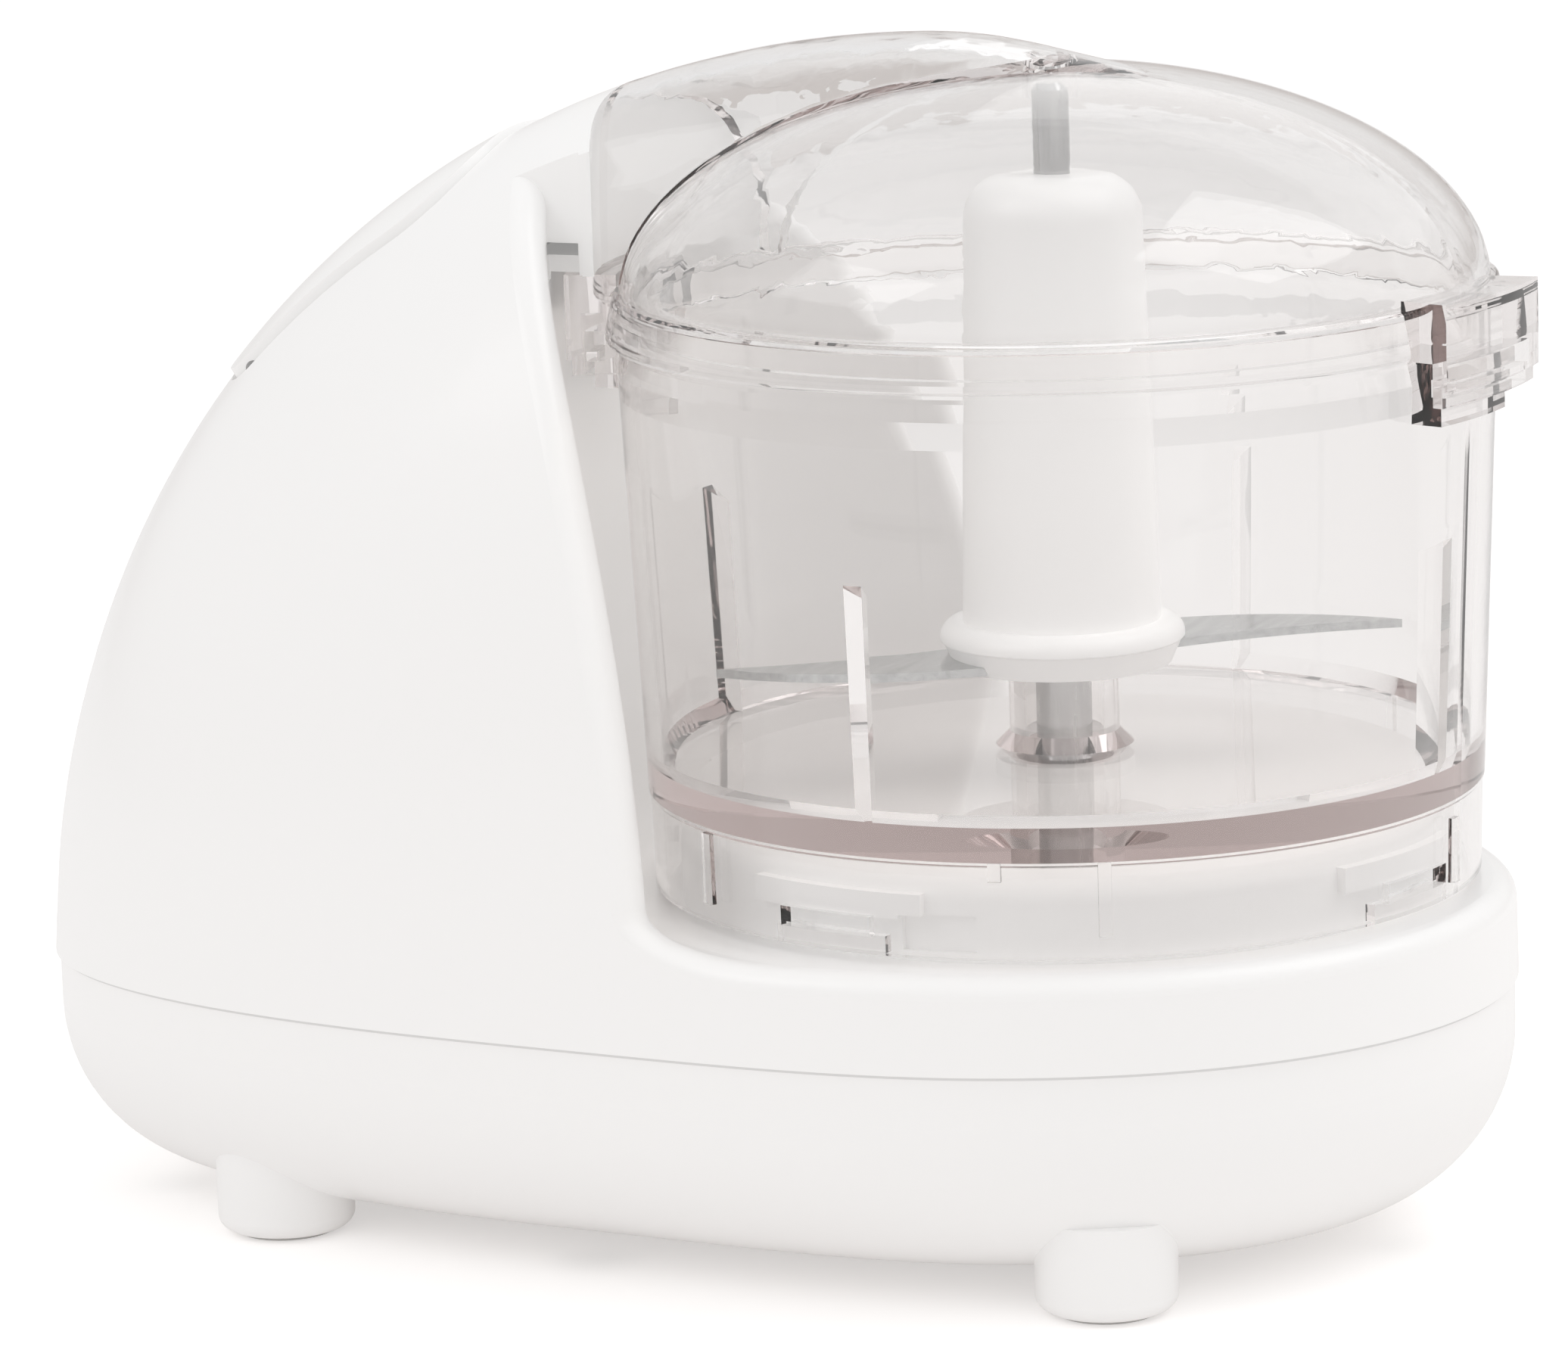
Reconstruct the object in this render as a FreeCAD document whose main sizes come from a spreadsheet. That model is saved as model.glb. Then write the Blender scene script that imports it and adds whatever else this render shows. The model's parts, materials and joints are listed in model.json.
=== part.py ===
import FreeCAD, Part
import math
import os

import Sketcher
from FreeCAD import Placement, Rotation, Vector

os.makedirs("parts", exist_ok=True)

# A mini food processor: a white motor unit with a clear bowl and lid beside the motor housing.
# Millimetres, +Z up, the table at z = 0. +X points from the motor housing to the bowl, and the
# object is symmetric about the plane y = 0 apart from small details.
# Every piece is drawn about the bowl's axis, and its Placement shifts it by bowl_x, so that the
# origin is the centre of the object's footprint. Motor pieces are drawn about the motor's axis.

doc = FreeCAD.newDocument("mini_food_processor")

# ---------------------------------------------------------------- driving dimensions
DIMENSIONS = {
    # placing
    "bowl_x": 42.8,          # the bowl's axis from the middle of the footprint
    "motor_x": -102.0,       # the motor's axis from the bowl's axis
    # motor unit: the outer form is a superellipsoid standing on the parting plane
    "parting_z": 37.0,       # joint between the upper housing and the lower housing
    "form_x": -14.7,         # centre of the form along X
    "form_long": 140.0,      # from the centre to the far left
    "form_wide": 66.8,       # half the width
    "form_high": 134.6,      # from the parting plane to the top
    "form_right": 79.5,      # from the centre to the right end
    "shell": 2.4,            # thickness of the housings
    "deck_z": 50.8,          # the deck that the bowl stands over
    "pocket_radius": 71.6,   # upright hollow of the housing, around the bowl
    "pocket_fillet": 6.0,
    "bridge_radius": 65.0,   # front end of the bridge over the pocket
    "bridge_half": 27.4,     # half the width of the bridge
    "bridge_z": 139.4,       # underside of the bridge
    "tray_inset": 0.6,       # step at the parting line
    "tray_z": 4.4,           # underside of the lower housing
    "tray_fillet": 25.0,
    # round boss on the deck, inside the bowl's skirt
    "boss_radius": 55.2,
    "boss_top": 62.4,
    "collar_radius": 10.0,
    "collar_top": 64.6,
    # feet
    "foot_radius": 10.0,
    "foot_left_x": -106.5,
    "foot_right_x": 22.9,
    "foot_y": 43.5,
    "foot_top": 14.0,
    "pad_radius": 8.0,
    "pad_thick": 1.6,
    # bowl
    "bowl_floor": 70.3,      # top of the bowl's floor
    "bowl_under": 65.6,      # underside of the bowl's floor
    "bowl_foot": 52.2,       # lower edge of the bowl's skirt
    "bowl_skirt_r": 59.2,
    "bowl_low_r": 59.8,
    "bowl_high_r": 62.2,
    "bowl_shoulder": 126.6,
    "bowl_rim_r": 61.4,
    "bowl_top": 135.4,
    "bowl_wall": 1.9,
    "tube_radius": 7.9,
    "tube_bore": 5.6,
    "tube_top": 98.0,
    # lid
    "lid_skirt_r": 63.7,
    "lid_bead_r": 62.6,
    "lid_skirt_z": 130.4,
    "lid_bead_z": 137.0,
    "dome_radius": 61.4,
    "dome_base": 136.4,
    "dome_top": 167.6,
    "lid_wall": 1.9,
    "latch_radius": 69.8,
    "lug_radius": 67.0,
    "fairing_half": 27.0,
    "fairing_end": 63.9,
    # blade
    "blade_z": 82.4,
    "blade_thick": 1.2,
    "blade_tip": 49.5,
    "hub_top": 152.4,
    "hub_top_r": 12.5,
    "hub_low_r": 14.2,
    "hub_flange_r": 17.5,
    "pin_radius": 2.6,
    "pin_low": 125.0,
    "pin_top": 164.4,
    # drive
    "spindle_radius": 4.0,
    "spindle_low": 13.0,
    "hex_corner": 5.2,
    "hex_low": 99.0,
    "hex_top": 110.0,
    "belt_z": 25.5,
    "belt_wide": 8.0,
    "belt_thick": 1.8,
    "big_pulley_r": 37.0,
    "small_pulley_r": 7.8,
    "motor_shaft_r": 2.5,
    "stator_z": 58.0,
    "stator_high": 28.0,
    "stator_radius": 28.0,
    "armature_r": 14.4,
    # press pad
    "pad_rear_x": -125.0,
    "pad_rear_z": 126.2,
    "pad_slope": 34.4,       # degrees, the chord of the pad above the horizontal
    "pad_long": 52.0,
    "pad_half": 25.5,
    "pad_gap": 0.8,
    "pad_proud": 1.0,
    "switch_x": -95.0,
    "switch_top": 133.6,
}

sheet = doc.addObject("Spreadsheet::Sheet", "Dims")
for row, (alias, value) in enumerate(DIMENSIONS.items(), start=1):
    sheet.set(f"A{row}", alias)
    sheet.set(f"B{row}", str(value))
    sheet.setAlias(f"B{row}", alias)
doc.recompute()

NODES = []


def dim(alias):
    """A driving dimension as a plain number, read from the spreadsheet."""
    return float(sheet.get(alias))


def number(expression):
    """The value of an expression over the spreadsheet."""
    return float(sheet.evalExpression(str(expression)))


def cell(expression):
    """Name every alias in an expression by its sheet, so that other objects can use it."""
    words = []
    for word in str(expression).replace("(", "( ").replace(")", " )").split():
        words.append("Dims." + word if word in DIMENSIONS else word)
    return " ".join(words)


# ---------------------------------------------------------------- ways of making a piece
def keep(piece, name, axis="bowl"):
    """Name a finished piece and place it by its axis."""
    piece.Label = name
    shift = "Dims.bowl_x" if axis == "bowl" else "Dims.bowl_x + Dims.motor_x"
    piece.setExpression("Placement.Base.x", shift)
    NODES.append(piece)
    return piece


def origin_feature(body, role):
    """One of a body's own origin planes or axes."""
    return next(f for f in body.Origin.OriginFeatures if f.Role == role)


def polygon_sketch(body, role, corners, height="0"):
    """A closed polygon on a body's own plane, each corner held by two driven distances."""
    sketch = body.newObject("Sketcher::SketchObject", body.Name + "_outline")
    sketch.AttachmentSupport = [(origin_feature(body, role), "")]
    sketch.MapMode = "FlatFace"
    if height != "0":
        sketch.setExpression("AttachmentOffset.Base.z", cell(height))
    points = [Vector(number(across), number(up), 0) for across, up in corners]
    count = len(points)
    for index, point in enumerate(points):
        sketch.addGeometry(Part.LineSegment(point, points[(index + 1) % count]))
    for index in range(count):
        sketch.addConstraint(Sketcher.Constraint("Coincident", index, 2, (index + 1) % count, 1))
    for index, (across, up) in enumerate(corners):
        for kind, expression in (("DistanceX", across), ("DistanceY", up)):
            value = number(expression)
            made = sketch.addConstraint(Sketcher.Constraint(kind, -1, 1, index, 1, value))
            if any(word in DIMENSIONS for word in expression.replace("(", " ").replace(")", " ").split()):
                sketch.setExpression(f"Constraints[{made}]", cell(expression))
    return sketch


def turned(name, corners, axis="bowl"):
    """A piece turned about the vertical axis, from corners of (radius, height)."""
    body = doc.addObject("PartDesign::Body", name)
    sketch = polygon_sketch(body, "XZ_Plane", corners)
    turn = body.newObject("PartDesign::Revolution", name + "_turn")
    turn.Profile = sketch
    turn.ReferenceAxis = (sketch, ["V_Axis"])
    turn.Angle = 360
    return keep(body, name, axis)


def ring(name, inner, outer, low, high, axis="bowl"):
    """A plain turned ring or disc."""
    return turned(name, [(inner, low), (outer, low), (outer, high), (inner, high)], axis)


def padded(name, corners, low, thick, axis="bowl"):
    """A flat piece, its polygon outline padded upwards."""
    body = doc.addObject("PartDesign::Body", name)
    sketch = polygon_sketch(body, "XY_Plane", corners, low)
    pad = body.newObject("PartDesign::Pad", name + "_pad")
    pad.Profile = sketch
    pad.setExpression("Length", cell(thick))
    return keep(body, name, axis)


def computed(name, shape, axis="bowl"):
    """A piece whose form neither features nor primitives can give."""
    piece = doc.addObject("Part::Feature", name)
    piece.Shape = shape
    return keep(piece, name, axis)


def block(x_low, x_high, y_low, y_high, z_low, z_high):
    """A box between two corners."""
    return Part.makeBox(x_high - x_low, y_high - y_low, z_high - z_low, Vector(x_low, y_low, z_low))


def rod(radius, low, high, x=0.0, y=0.0):
    """An upright cylinder."""
    return Part.makeCylinder(radius, high - low, Vector(x, y, low))


def tube(inner, outer, low, high, x=0.0, y=0.0):
    """An upright tube."""
    return rod(outer, low, high, x, y).cut(rod(inner, low - 1, high + 1, x, y))


def spun(points):
    """A solid turned about the Z axis from points of (radius, height)."""
    corners = [Vector(radius, 0, height) for radius, height in points]
    face = Part.Face(Part.makePolygon(corners + corners[:1]))
    return face.revolve(Vector(0, 0, 0), Vector(0, 0, 1), 360)


def sector(inner, outer, low, high, middle, half_angle):
    """A piece of ring about the Z axis, centred on an angle in degrees."""
    profile = Part.makePolygon([
        Vector(inner, 0, low), Vector(outer, 0, low), Vector(outer, 0, high), Vector(inner, 0, high),
        Vector(inner, 0, low)])
    piece = Part.Face(profile).revolve(Vector(0, 0, 0), Vector(0, 0, 1), 2 * half_angle)
    piece.rotate(Vector(0, 0, 0), Vector(0, 0, 1), middle - half_angle)
    return piece


def coil(radius, wire, low, high, turns, x=0.0, y=0.0):
    """A helical compression spring."""
    helix = Part.makeHelix((high - low - wire) / turns, high - low - wire, radius)
    foot_point = Vector(x, y, low + wire / 2)
    helix.translate(foot_point)
    start = Part.Circle(foot_point + Vector(radius, 0, 0), Vector(0, 1, 0), wire / 2).toShape()
    return Part.Wire(helix.Edges).makePipeShell([Part.Wire(start)], True, True)


# ---------------------------------------------------------------- outer form of the motor unit
def form_section(height, offset):
    """One level of the superellipsoid: blunt at the parting plane, an ellipse at the top."""
    rise = (height - dim("parting_z")) / (dim("form_high") + offset)
    long_scale = (1 - rise ** 2.1) ** (1 / 2.1)
    wide_scale = (1 - rise ** 2.38) ** (1 / 2.38)
    left = (dim("form_long") + offset) * long_scale
    right = (dim("form_right") + offset) * long_scale
    half = (dim("form_wide") + offset) * wide_scale
    blunt = 3.15 - 1.2 * rise
    points = []
    steps = 32
    for step in range(steps):
        angle = 2 * math.pi * (step + 0.5) / steps
        across, along = math.cos(angle), math.sin(angle)
        power = 2 / blunt if across < 0 else 1.0
        reach = left if across < 0 else right
        x = dim("form_x") + math.copysign(reach * abs(across) ** power, across)
        y = math.copysign(half * abs(along) ** power, along)
        points.append(Vector(x, y, height))
    curve = Part.BSplineCurve()
    curve.interpolate(Points=points, PeriodicFlag=True)
    return Part.Wire(curve.toShape())


def form_solid(offset, top=0.957):
    """The outer form grown by an offset, from the parting plane to near its top."""
    base = dim("parting_z")
    high = dim("form_high") + offset
    levels = [base + high * share for share in (0, 0.12, 0.26, 0.4, 0.54, 0.67, 0.78, 0.87, 0.92, top)]
    sections = [form_section(level, offset) for level in levels]
    return Part.makeLoft(sections, True, False)


def pocket(grow):
    """The space cut out of the form above the deck, less the bridge at its top."""
    low = dim("deck_z") - grow
    radius = dim("pocket_radius") + grow
    corner = dim("pocket_fillet") + grow
    side = Part.makePolygon([Vector(0, 0, low), Vector(0, 0, 220), Vector(radius, 0, 220)])
    wall = Part.LineSegment(Vector(radius, 0, 220), Vector(radius, 0, low + corner)).toShape()
    turn = math.sqrt(0.5)
    bend = Part.Arc(
        Vector(radius, 0, low + corner),
        Vector(radius - corner * (1 - turn), 0, low + corner * (1 - turn)),
        Vector(radius - corner, 0, low)).toShape()
    floor = Part.LineSegment(Vector(radius - corner, 0, low), Vector(0, 0, low)).toShape()
    space = Part.Face(Part.Wire(side.Edges + [wall, bend, floor]))
    space = space.revolve(Vector(0, 0, 0), Vector(0, 0, 1), 360)
    half = dim("bridge_half") - grow
    bridge = block(-100, -40, -half, half, dim("bridge_z") + grow, 230)
    bridge = bridge.cut(rod(dim("bridge_radius") + grow, 0, 240))
    return space.cut(bridge)


def press_prism(grow, deep):
    """The press pad's outline, swept square to the pad's chord."""
    half = dim("pad_half") + grow
    long = dim("pad_long")
    front = 16.0
    rear = 7.0
    outline = Part.makePolygon([
        Vector(-grow, -half, 0), Vector(long + grow, -half, 0), Vector(long + grow, half, 0),
        Vector(-grow, half, 0), Vector(-grow, -half, 0)])
    prism = Part.Face(outline).extrude(Vector(0, 0, deep + 14))
    upright = [e for e in prism.Edges if abs(e.tangentAt(e.FirstParameter).z) > 0.9]
    prism = prism.makeFillet(front + grow, [e for e in upright if e.BoundBox.XMin > long / 2])
    upright = [e for e in prism.Edges if abs(e.tangentAt(e.FirstParameter).z) > 0.9]
    prism = prism.makeFillet(rear + grow, [e for e in upright if e.BoundBox.XMax < 1])
    prism.translate(Vector(0, 0, -deep))
    prism.rotate(Vector(0, 0, 0), Vector(0, 1, 0), -dim("pad_slope"))
    prism.translate(Vector(dim("pad_rear_x"), 0, dim("pad_rear_z")))
    return prism


def press_point(along, deep):
    """A point on the press pad's centre plane: along its chord, and under it."""
    slope = math.radians(dim("pad_slope"))
    x = dim("pad_rear_x") + along * math.cos(slope) + deep * math.sin(slope)
    z = dim("pad_rear_z") + along * math.sin(slope) - deep * math.cos(slope)
    return x, z


HINGE_X, HINGE_Z = press_point(6.0, 7.5)
HINGE_PIN_R = 1.5
PAD_SKIN = 1.6       # thickness of the pad under the form's surface

doc.recompute()


# ---------------------------------------------------------------- motor unit: housings
def upper_housing():
    """The upper shell: form less pocket, rounded, hollowed, with its boss, openings and ribs."""
    shell = dim("shell")
    deck = dim("deck_z")
    body = form_solid(0).cut(pocket(0))
    rounding = 3.2
    # the rim of the pocket and the sides of the bridge, but not the bridge's front end
    edges = [e for e in body.Edges
             if e.Curve.TypeId == "Part::GeomBSplineCurve" and e.BoundBox.ZMin > deck - 1
             and e.BoundBox.YLength > 1 and e.BoundBox.XMin > -66.3 and e.BoundBox.ZMax < 155.5
             and e.BoundBox.XMax > -58]
    body = body.makeFillet(rounding, edges)
    boss_edge = 3.0
    boss = rod(dim("boss_radius"), deck - 1, dim("boss_top"))
    boss = boss.makeFillet(boss_edge, [e for e in boss.Edges if e.BoundBox.ZMin > deck])
    hollow = form_solid(-shell).cut(pocket(shell))
    under_boss = rod(dim("boss_radius") - shell, deck - 8, dim("boss_top") - shell)
    pad_opening = press_prism(dim("pad_gap"), 12)
    spindle_hole = rod(dim("collar_radius") - 0.5, 30, 70)
    body = body.fuse(boss).cut([hollow, under_boss, mouth(shell), spindle_hole, pad_opening])
    lug_r, lug_low, lug_top = 56.7, 57.0, 60.6
    lugs = [sector(dim("boss_radius") - 1, lug_r, lug_low, lug_top, middle, 14.0)
            for middle in BAYONET_ANGLES]
    collar = tube(dim("spindle_radius") + 3.0, dim("collar_radius"), deck - 8, dim("collar_top"))
    body = body.fuse(lugs + [collar, bridge_lip()] + hinge_lugs() + screw_posts())
    switch_window = block(-78, -69, -4.4, 4.4, 130.4, 136.6)
    latch_notch = block(-67.5, -61.2, -32, -24.4, dim("bridge_z") - 1, dim("bridge_z") + 4.6)
    finger_mark = sector(dim("boss_radius") - 1.0, 60, 52.4, 57.6, -85.5, 5.5)
    cord_hole = Part.makeCylinder(6.0, 30, Vector(-165, 0, CORD_Z), Vector(1, 0, 0))
    return body.cut([switch_window, latch_notch, finger_mark, cord_hole])


def bridge_lip():
    """A narrow lip round the front end of the bridge."""
    radius = dim("bridge_radius")
    half = dim("bridge_half") + 0.7
    lip = block(-70, -50, -half, half, dim("bridge_z"), 160)
    return lip.common(tube(radius, radius + 1.6, 120, 170)).common(form_solid(0))


def hinge_lugs():
    """Two lugs under the press pad that hold the ends of its hinge pin."""
    inside = form_solid(-0.8)
    pad_space = press_prism(dim("pad_gap"), 12).cut(form_solid(-PAD_SKIN - dim("pad_gap"), 0.955))
    lug = block(HINGE_X - 4.5, HINGE_X + 4.5, 17.0, 20.0, HINGE_Z - 4.5, HINGE_Z + 14)
    arm = block(HINGE_X - 4.5, HINGE_X + 4.5, 19.9, 30.0, HINGE_Z + 1.0, HINGE_Z + 16)
    bore = Part.makeCylinder(HINGE_PIN_R, 40, Vector(HINGE_X, -20, HINGE_Z), Vector(0, 1, 0))
    lug = lug.fuse(arm).cut([pad_space, bore]).common(inside)
    return [lug, lug.mirror(Vector(0, 0, 0), Vector(0, 1, 0))]


def screw_posts():
    """Tubes that take the housing screws, each tied to the nearest wall by a rib."""
    inside = form_solid(-1.0)
    low, high = dim("parting_z") + 0.2, dim("deck_z") - 1.5
    posts = []
    for x, y in SCREW_PLACES:
        post = rod(4.2, low, high, x, y)
        if y:
            rib = block(x - 1.2, x + 1.2, min(y, 3 * y), max(y, 3 * y), low + 2, high)
            post = post.fuse(rib.common(inside))
        posts.append(post.cut(rod(SCREW_CORE, low - 1, dim("deck_z") - 6, x, y)))
    return posts


def mouth(shell):
    """Opens the hollow at the parting plane."""
    base = dim("parting_z")
    outline = Part.Face(form_section(base, -shell))
    return outline.extrude(Vector(0, 0, 2)).fuse(outline.extrude(Vector(0, 0, -2)))


def tray_form(inset, floor, corner):
    """The lower housing's outer form: the parting outline drawn down and rounded under."""
    outline = Part.Face(form_section(dim("parting_z"), -inset))
    solid = outline.extrude(Vector(0, 0, floor - dim("parting_z")))
    under = [e for e in solid.Edges if e.BoundBox.ZMax < floor + 0.5]
    return solid.makeFillet(corner, under)


def lower_housing():
    """The lower shell, with screw bosses, foot sockets, the bracket's pillars and air slots."""
    shell = dim("shell")
    inset = dim("tray_inset")
    corner = dim("tray_fillet")
    floor = dim("tray_z")
    outer = tray_form(inset, floor, corner)
    inner = tray_form(inset + shell, floor + shell, corner - shell)
    base = dim("parting_z")
    keep_in = tray_form(inset + 1.0, floor, corner - 1.0)
    bosses = [rod(5.2, floor, base - 0.2, x, y) for x, y in SCREW_PLACES]
    bosses += [rod(dim("foot_radius") + 1.6, floor, dim("foot_top") + 2, x, y) for x, y in FOOT_PLACES]
    bosses += [rod(3.6, floor + 0.5, 12.0, x, y) for x, y in BRACKET_PLACES]
    body = outer.cut(inner).fuse(Part.makeCompound(bosses).common(keep_in))
    holes = [rod(SCREW_SHANK, 0, 60, x, y) for x, y in SCREW_PLACES]
    holes += [rod(SCREW_HEAD, -1, floor + 9, x, y) for x, y in SCREW_PLACES]
    holes += [rod(dim("foot_radius"), -1, dim("foot_top"), x, y) for x, y in FOOT_PLACES]
    holes += [rod(1.4, floor + 2.6, 13, x, y) for x, y in BRACKET_PLACES]
    slot_count, slot_pitch = 7, 6.0
    for index in range(slot_count):
        x = dim("motor_x") + slot_pitch * (index - (slot_count - 1) / 2)
        holes.append(block(x - 1.2, x + 1.2, -14, 14, 0, 9))
    return body.cut(holes)


CORD_Z = 46.0
SCREW_CORE = 1.5
SCREW_SHANK = 2.0
SCREW_HEAD = 3.8
SCREW_PLACES = [(-134.0, 27.0), (-134.0, -27.0), (-56.0, 44.0), (-56.0, -44.0), (50.0, 0.0)]
FOOT_PLACES = [(x, y) for x in (dim("foot_left_x"), dim("foot_right_x"))
               for y in (-dim("foot_y"), dim("foot_y"))]
BRACKET_PLACES = [(-20.0, 0.0), (20.0, 0.0)]
BAYONET_ANGLES = [-101.6, -11.6, 78.4, 168.4]

computed("upper_housing", upper_housing())
computed("lower_housing", lower_housing())


# ---------------------------------------------------------------- feet and screws
def foot(x, y):
    """A round foot let into the lower housing, with a rounded edge and a socket for its pad."""
    radius = dim("foot_radius") - 0.02
    edge = 2.2
    solid = rod(radius, 0, dim("foot_top"), x, y)
    solid = solid.makeFillet(edge, [e for e in solid.Edges if e.BoundBox.ZMax < 0.5])
    solid = solid.cut(rod(dim("foot_radius") - 3.0, 3.0, dim("foot_top") + 1, x, y))
    solid.translate(Vector(0, 0, 0.6))
    top = rod(30, dim("foot_top"), dim("foot_top") + 2, x, y)
    return solid.cut(top).cut(rod(dim("pad_radius") - 1.0, 0, 1.6, x, y))


FOOT_NAMES = ["foot_left_front", "foot_left_rear", "foot_right_front", "foot_right_rear"]
for foot_name, (foot_x, foot_y) in zip(FOOT_NAMES, FOOT_PLACES):
    computed(foot_name, foot(foot_x, foot_y))

pads = [rod(dim("pad_radius") - 1.02, 0, dim("pad_thick"), x, y) for x, y in FOOT_PLACES]
computed("foot_pads", Part.makeCompound(pads))


def housing_screw(x, y):
    """A pan-head screw, upwards from under the lower housing."""
    seat = dim("tray_z") + 9
    head = rod(3.4, seat - 2.2, seat, x, y)
    head = head.cut(block(x - 2.4, x + 2.4, y - 0.4, y + 0.4, seat - 2.3, seat - 1.2))
    head = head.cut(block(x - 0.4, x + 0.4, y - 2.4, y + 2.4, seat - 2.3, seat - 1.2))
    return head.fuse(rod(SCREW_CORE, seat - 0.5, dim("deck_z") - 6.5, x, y))


computed("housing_screws", Part.makeCompound([housing_screw(x, y) for x, y in SCREW_PLACES]))

# ---------------------------------------------------------------- spindle and belt drive
RUNNING_FIT = 0.04
ring("upper_spindle_bush", f"spindle_radius + {RUNNING_FIT}", "spindle_radius + 3.0",
     "deck_z - 7.0", "deck_z + 7.0")
ring("lower_spindle_bush", f"spindle_radius + {RUNNING_FIT}", "spindle_radius + 3.0", "12.0", "21.0")
turned("spindle_seal", [
    ("spindle_radius + 0.1", "collar_top - 3.6"), ("spindle_radius + 2.98", "collar_top - 3.6"),
    ("spindle_radius + 2.98", "collar_top - 0.4"), ("spindle_radius + 2.0", "collar_top - 0.4"),
    ("spindle_radius + 2.0", "collar_top - 2.4"), ("spindle_radius + 0.1", "collar_top - 2.4")])


def bracket_plate():
    """The pressed plate across the lower housing's pillars that holds the lower bush."""
    plate = block(-25, 25, -9, 9, 12.0, 14.0)
    plate = plate.makeFillet(4.0, [e for e in plate.Edges if e.BoundBox.ZLength > 1])
    cup = tube(dim("spindle_radius") + 3.0, dim("spindle_radius") + 4.6, 12.0, 20.0)
    plate = plate.fuse(cup).cut(rod(dim("spindle_radius") + 3.0, 10, 22))
    for x, y in BRACKET_PLACES:
        plate = plate.cut(rod(1.4, 10, 16, x, y))
    return plate


def bracket_screw(x, y):
    """A short screw of the spindle bracket."""
    return rod(1.4, dim("tray_z") + 3.0, 14.2, x, y).fuse(rod(3.0, 14.0, 15.8, x, y))


computed("spindle_bracket", bracket_plate())
computed("bracket_screws", Part.makeCompound([bracket_screw(x, y) for x, y in BRACKET_PLACES]))

turned("drive_spindle", [
    ("0", "spindle_low"), ("spindle_radius - 0.5", "spindle_low"), ("spindle_radius", "spindle_low + 0.5"),
    ("spindle_radius", "hex_low"), ("0", "hex_low")])


def drive_hex():
    """The six-sided driver on the spindle's end, with a tapered lead-in."""
    corners = [(f"hex_corner * {math.cos(math.radians(60 * k)):.6f}",
                f"hex_corner * {math.sin(math.radians(60 * k)):.6f}") for k in range(6)]
    piece = padded("drive_coupling", corners, "hex_low", "hex_top - hex_low")
    doc.recompute()
    prism = piece.Tip
    top = [f"Edge{n}" for n, e in enumerate(prism.Shape.Edges, start=1)
           if e.BoundBox.ZMin > dim("hex_top") - 0.01]
    taper = piece.newObject("PartDesign::Chamfer", "coupling_lead")
    taper.Base = (prism, top)
    taper.Size = 1.2
    piece.Tip = taper


drive_hex()


def pulley_corners(bore, radius, flange):
    """Half section of a grooved belt pulley, from its bore out to its flanges."""
    low, high = "belt_z", "belt_z + belt_wide"
    corners = [(bore, f"{low} - 1.6"), (f"{radius} + {flange}", f"{low} - 1.6"),
               (f"{radius} + {flange}", f"{low} - 0.3"), (radius, f"{low} - 0.3")]
    grooves = 4
    pitch = dim("belt_wide") / grooves
    for groove in range(grooves):
        foot_z = groove * pitch
        corners.append((radius, f"{low} + {foot_z + 0.3:.2f}"))
        corners.append((f"{radius} - 0.9", f"{low} + {foot_z + pitch / 2:.2f}"))
        corners.append((radius, f"{low} + {foot_z + pitch - 0.3:.2f}"))
    corners += [(radius, f"{high} + 0.3"), (f"{radius} + {flange}", f"{high} + 0.3"),
                (f"{radius} + {flange}", f"{high} + 1.6"), (bore, f"{high} + 1.6")]
    return corners


def big_pulley():
    """The spindle's pulley: a grooved rim on a thin web with five round windows."""
    piece = turned("spindle_pulley", pulley_corners("spindle_radius", "big_pulley_r", "1.4"))
    doc.recompute()
    for low, length in (("belt_z - 2.0", 4.0), ("belt_z + belt_wide + 2.0", -4.0)):
        sketch = piece.newObject("Sketcher::SketchObject", "web_relief")
        sketch.AttachmentSupport = [(origin_feature(piece, "XY_Plane"), "")]
        sketch.MapMode = "FlatFace"
        sketch.setExpression("AttachmentOffset.Base.z", cell(low))
        for radius in (dim("big_pulley_r") - 4.0, 9.0):
            sketch.addGeometry(Part.Circle(Vector(0, 0, 0), Vector(0, 0, 1), radius))
        relief = piece.newObject("PartDesign::Pocket", "web_relief_cut")
        relief.Profile = sketch
        relief.Length = abs(length) + 0.4
        relief.Reversed = length > 0
    window = piece.newObject("Sketcher::SketchObject", "web_window")
    window.AttachmentSupport = [(origin_feature(piece, "XY_Plane"), "")]
    window.MapMode = "FlatFace"
    window.addGeometry(Part.Circle(Vector(21, 0, 0), Vector(0, 0, 1), 6.5))
    hole = piece.newObject("PartDesign::Pocket", "web_window_cut")
    hole.Profile = window
    hole.Type = 1
    hole.Midplane = True
    spread = piece.newObject("PartDesign::PolarPattern", "web_windows")
    spread.Originals = [hole]
    spread.Axis = (window, ["N_Axis"])
    spread.Occurrences = 5
    piece.Tip = spread


big_pulley()
ring("spindle_clip", "spindle_radius", "spindle_radius + 2.2", "belt_z + belt_wide + 1.7",
     "belt_z + belt_wide + 2.7")


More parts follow.
